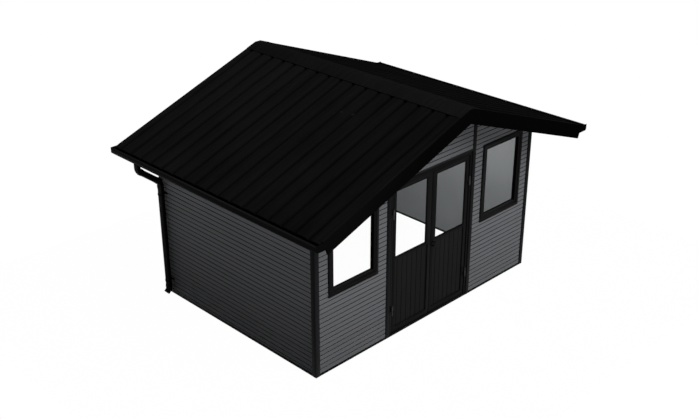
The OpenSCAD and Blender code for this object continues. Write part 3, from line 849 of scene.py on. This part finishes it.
# screws at the given places, turned about Z by so many degrees
def addScrews(name, places, turn, body, slot):
    first = screwHead(name)
    heads = [first] + [copyOf(first, name + str(index)) for index in range(1, len(places))]
    for head, place in zip(heads, places):
        head.rotation_euler = (0, 0, math.radians(turn))
        head.location = place
        settle(head)
    finishPiece(joined(name, heads), body, slot)


jambPlate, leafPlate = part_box("frame_hinges"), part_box("right_door_hinges")
hingeMiddles = (jambPlate[0].z + hinges["height"] / 2,
                jambPlate[1].z + hinges["pinShort"] - hinges["height"] / 2)
nearStep, farStep = hinges["screwSteps"]
clipLow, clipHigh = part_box("pipe_clips")
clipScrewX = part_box("right_wall")[1].x + screws["clipThickness"]
clipScrewY = clipLow.y + screws["clipBack"]
jambScrewX = jambPlate[1].x - hinges["screwInset"]
leafScrewX = leafPlate[0].x + hinges["screwInset"]
for side, sign in signs.items():
    for name, x, front, steps, body in (
            ("JambScrews", jambScrewX, jambPlate[1].y, (-farStep, -nearStep), root),
            ("LeafScrews", leafScrewX, leafPlate[1].y, (nearStep, farStep), side + "_door")):
        addScrews(side + name, [
            (sign * x, front - hinges["plateThickness"], middle + step)
            for middle in hingeMiddles for step in steps
        ], 0, body, "fittings")
    addScrews(side + "ClipScrews", [
        (sign * clipScrewX, clipScrewY, clipLow.z + screws["clipInset"]),
        (sign * clipScrewX, clipScrewY, clipHigh.z - screws["clipInset"]),
    ], sign * 90, root, "rainwater")


# rubber gaskets round the glass, in metres
gaskets = {
    "width": 0.009,
    "depth": 0.004,
    "edge": 0.0012,
    "gap": 0.0002,  # to the glass
    "cutterReach": 0.1,
}


# a rubber strip round a sheet of glass, on the side that face points to
def addGasket(name, sheet, face, body):
    low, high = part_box(sheet)
    width, reach = gaskets["width"], gaskets["cutterReach"]
    glassY = low.y if face < 0 else high.y
    front = glassY + face * gaskets["depth"]
    near, far = sorted((glassY + face * gaskets["gap"], front))
    left, right = low.x + rebateLap, high.x - rebateLap
    bottom, top = low.z + rebateLap, high.z - rebateLap
    strip = addBlock(name, (left, near, bottom), (right, far, top))
    cutHole(strip, (left + width, glassY - reach, bottom + width),
            (right - width, glassY + reach, top - width))
    softenEdges(strip, gaskets["edge"], lambda edge: edgeAt(edge, front))
    smooth(strip)
    paint(strip, "rubber")
    finishPiece(strip, body, "joinery")


# strips that close the eaves, in metres
fillers = {
    "inset": 0.003,  # from the outer face of the fascia board
    "width": 0.014,
    "depth": 0.03,
    "gap": 0.0004,  # to the roof sheet
}


# closes the ribs of a roof sheet over its fascia board: the underside of the sheet, carried down
def addFiller(name, sheet, sign):
    piece = nodeCopy(sheet, name)
    outer = sign * (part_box("fascia_boards")[1].x - fillers["inset"])
    cutBeyond(piece, (outer, 0, 0), (sign, 0, 0))
    cutBeyond(piece, (outer - sign * fillers["width"], 0, 0), (-sign, 0, 0))
    pick(piece, "FACE", lambda face: face.normal.z > -0.05)
    bpy.ops.mesh.delete(type="FACE")
    bpy.ops.mesh.select_all(action="SELECT")
    bpy.ops.transform.translate(value=(0, 0, -fillers["gap"]))
    bpy.ops.mesh.extrude_region_move(TRANSFORM_OT_translate={"value": (0, 0, -fillers["depth"])})
    bpy.ops.mesh.select_all(action="SELECT")
    bpy.ops.mesh.normals_make_consistent(inside=False)
    closeEdit()
    paint(piece, "rubber")
    finishPiece(piece, root, "roof_metal")


for side, sign in signs.items():
    addFiller(side + "EavesFiller", "roof_sheet_" + side, sign)

# rubber strip on the free edge of the left leaf, in metres: it closes the gap between the leaves
meetingSeal = {
    "ownGap": 0.0002,  # to the left leaf
    "otherGap": 0.0009,  # to the right leaf
    "front": 0.004,  # behind the front of the leaves
    "back": 0.01,
    "endGap": 0.002,  # to the ends of the leaves
}
leafEdge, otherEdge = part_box("left_door_leaf")[1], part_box("right_door_leaf")[0]
seal = addBlock("meetingSeal",
                (leafEdge.x + meetingSeal["ownGap"], otherEdge.y + meetingSeal["front"],
                 otherEdge.z + meetingSeal["endGap"]),
                (otherEdge.x - meetingSeal["otherGap"], otherEdge.y + meetingSeal["back"],
                 leafEdge.z - meetingSeal["endGap"]))
paint(seal, "rubber")
finishPiece(seal, "left_door", "joinery")

for side in signs:
    for place, face in (("Outer", -1), ("Inner", 1)):
        addGasket(side + "Window" + place + "Gasket", "window_glass_" + side, face, root)
        addGasket(side + "Door" + place + "Gasket", side + "_door_glass", face, side + "_door")
print("screws, fillers and gaskets added")


# upright boards of the door panels, in metres
doorBoards = {
    "tint": (0.0086, 0.0086, 0.0088),
    "spread": 0.2,  # of tone from board to board
    "foot": 0.2,  # change of tone towards the foot
    "specular": 0.03,
    "pitch": 0.089,
    "gap": 0.004,
    "depth": 0.006,
    "edge": 0.005,
    "boardSet": 0.001,  # back of the boards, in front of the CAD panel
    "sheetSet": 0.0005,  # front of the sheet behind them, in front of the CAD panel
    "leftSeam": -0.600,  # places of a seam along X
    "rightSeam": 0.117,
}
finishes["doorBoards"] = boardFinish("door boards", doorBoards["tint"], doorBoards["pitch"], 0.0,
                                     upright=True, spread=doorBoards["spread"],
                                     specular=doorBoards["specular"], foot=doorBoards["foot"])
doorFinishes = ("doorBoards", "seamsAndGrooveShade", "doorLining")


# upright boards in the recess of a leaf, on a backing sheet; the meeting stile ends at meeting
def doorPanel(name, node, body, meeting, seam):
    low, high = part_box(node)
    pitch, gap, depth = doorBoards["pitch"], doorBoards["gap"], doorBoards["depth"]
    front = low.y - depth - doorBoards["boardSet"]
    sheet = addBlock(name, (low.x, low.y - doorBoards["sheetSet"], low.z), high)
    left = meeting + seat if meeting > 0 else low.x + rebateLap
    right = meeting - seat if meeting < 0 else high.x - rebateLap
    start = seam + pitch * math.floor((left - seam) / pitch)
    board = addBlock(name + "Board", (start + gap / 2, front, low.z + rebateLap),
                     (start + pitch - gap / 2, front + depth, high.z - rebateLap))
    softenEdges(board, doorBoards["edge"], lambda edge: edgeAt(edge, front)
                and abs(edge.verts[0].co.x - edge.verts[1].co.x) < tiny)
    repeat(board, math.ceil((right - start) / pitch), (pitch, 0, 0))
    cutBeyond(board, (left, 0, 0), (-1, 0, 0))
    cutBeyond(board, (right, 0, 0), (1, 0, 0))
    paintFaces(sheet, doorFinishes, lambda normal: "seamsAndGrooveShade" if normal.y < -0.5 else "doorLining")
    # the sides of each door board, in the gaps, take the seam finish as painted shade
    paintFaces(board, doorFinishes,
               lambda normal: "seamsAndGrooveShade" if abs(normal.x) > 0.95 else "doorBoards")
    finishPiece(joined(name, [sheet, board]), body, "joinery", node)


for side, sign in signs.items():
    doorPanel(side + "DoorBoards", side + "_door_panel", side + "_door",
              sign * leaves["stileFace"], doorBoards[side + "Seam"])
print("door panels boarded")


# floor, sky and lamps: sizes and places in metres, softness in degrees
studio = {
    "floorSize": (8.8, 7.6),
    "floorDrop": 0.0005,
    "floorSeen": (0.95, 0.95, 0.95),  # its tone to the camera
    "floorLit": (0.06, 0.06, 0.06),  # and in the light that it throws back
    "whiteShare": 0.99,  # of plain white in what the camera sees
    "skyAbove": 0.06,
    "skyBelow": 0.98,
    "horizon": 0.15,
    "keyPlace": (0, -6, 8),
    "keyFrom": (0.27, -1.0, 0.95),
    "keyStrength": 2.55,
    "keySoftness": 45.0,
    "roomPlace": (-0.6, -0.85, 2.3),
    "roomFrom": (-1.0, -0.25, 0.05),
    "roomSize": 0.9,
    "roomGlow": 19.0,
}
white = (1.0, 1.0, 1.0)


# the floor shows white with a trace of shadow, and throws little light back
def addFloor():
    clearSelection()
    bpy.ops.mesh.primitive_plane_add(size=1, location=(0, 0, -studio["floorDrop"]))
    floor = bpy.context.object
    floor.name = "studioFloor"
    floor.scale = (*studio["floorSize"], 1)
    settle(floor)
    make = Finish("studio floor")
    seen = make.seen()
    tone = make.mixed(seen, studio["floorLit"], studio["floorSeen"])
    matt = make.node("ShaderNodeBsdfDiffuse", None, {"Color": tone})
    glow = make.node("ShaderNodeEmission", None, {"Color": white, "Strength": 1.0})
    share = seen * studio["whiteShare"]
    make.show(make.node("ShaderNodeMixShader", None, {0: share, 1: matt, 2: glow}))
    floor.data.materials.append(make.material)


# the sky lights from below the horizon, and shows white
def addSky():
    world = bpy.data.worlds.new("studio sky")
    bpy.context.scene.world = world
    make = Finish("studio sky", world)
    [height] = make.parts(make.node("ShaderNodeTexCoord", output="Generated"), "Z")
    level = make.clamped(height, -studio["horizon"], studio["horizon"],
                         studio["skyBelow"], studio["skyAbove"])
    make.show(make.node("ShaderNodeBackground", None, {
        "Color": white, "Strength": level + (1 - level) * make.seen(),
    }))


def addLamp(name, kind, place, lightFrom, strength):
    clearSelection()
    bpy.ops.object.light_add(type=kind, location=place)
    lamp = bpy.context.object
    lamp.name = name
    lamp.data.energy = strength
    lamp.rotation_euler = Vector(lightFrom).to_track_quat("Z", "Y").to_euler()
    return lamp


addFloor()
addSky()
key = addLamp("keyLamp", "SUN", studio["keyPlace"], studio["keyFrom"], studio["keyStrength"])
key.data.angle = math.radians(studio["keySoftness"])
room = addLamp("roomLamp", "AREA", studio["roomPlace"], studio["roomFrom"], studio["roomGlow"])
room.data.size = studio["roomSize"]
room.visible_camera = False

# camera: place and reach in metres, turn and dip in degrees, lens and sensor in millimetres
view = {
    "place": (-8.9441, -8.8711, 7.1881),
    "turn": 44.8823,
    "dip": 25.9291,
    "lens": 54.0562,
    "sensor": 36,
    "farthest": 200,
}
clearSelection()
bpy.ops.object.camera_add(location=view["place"], rotation=(
    math.radians(90 - view["dip"]), 0, math.radians(-view["turn"])))
eye = bpy.context.object
eye.name = "mainCamera"
eye.data.lens = view["lens"]
eye.data.sensor_width = view["sensor"]
eye.data.clip_end = view["farthest"]
bpy.context.scene.camera = eye
bpy.context.scene.view_settings.view_transform = "Standard"
print("studio ready")
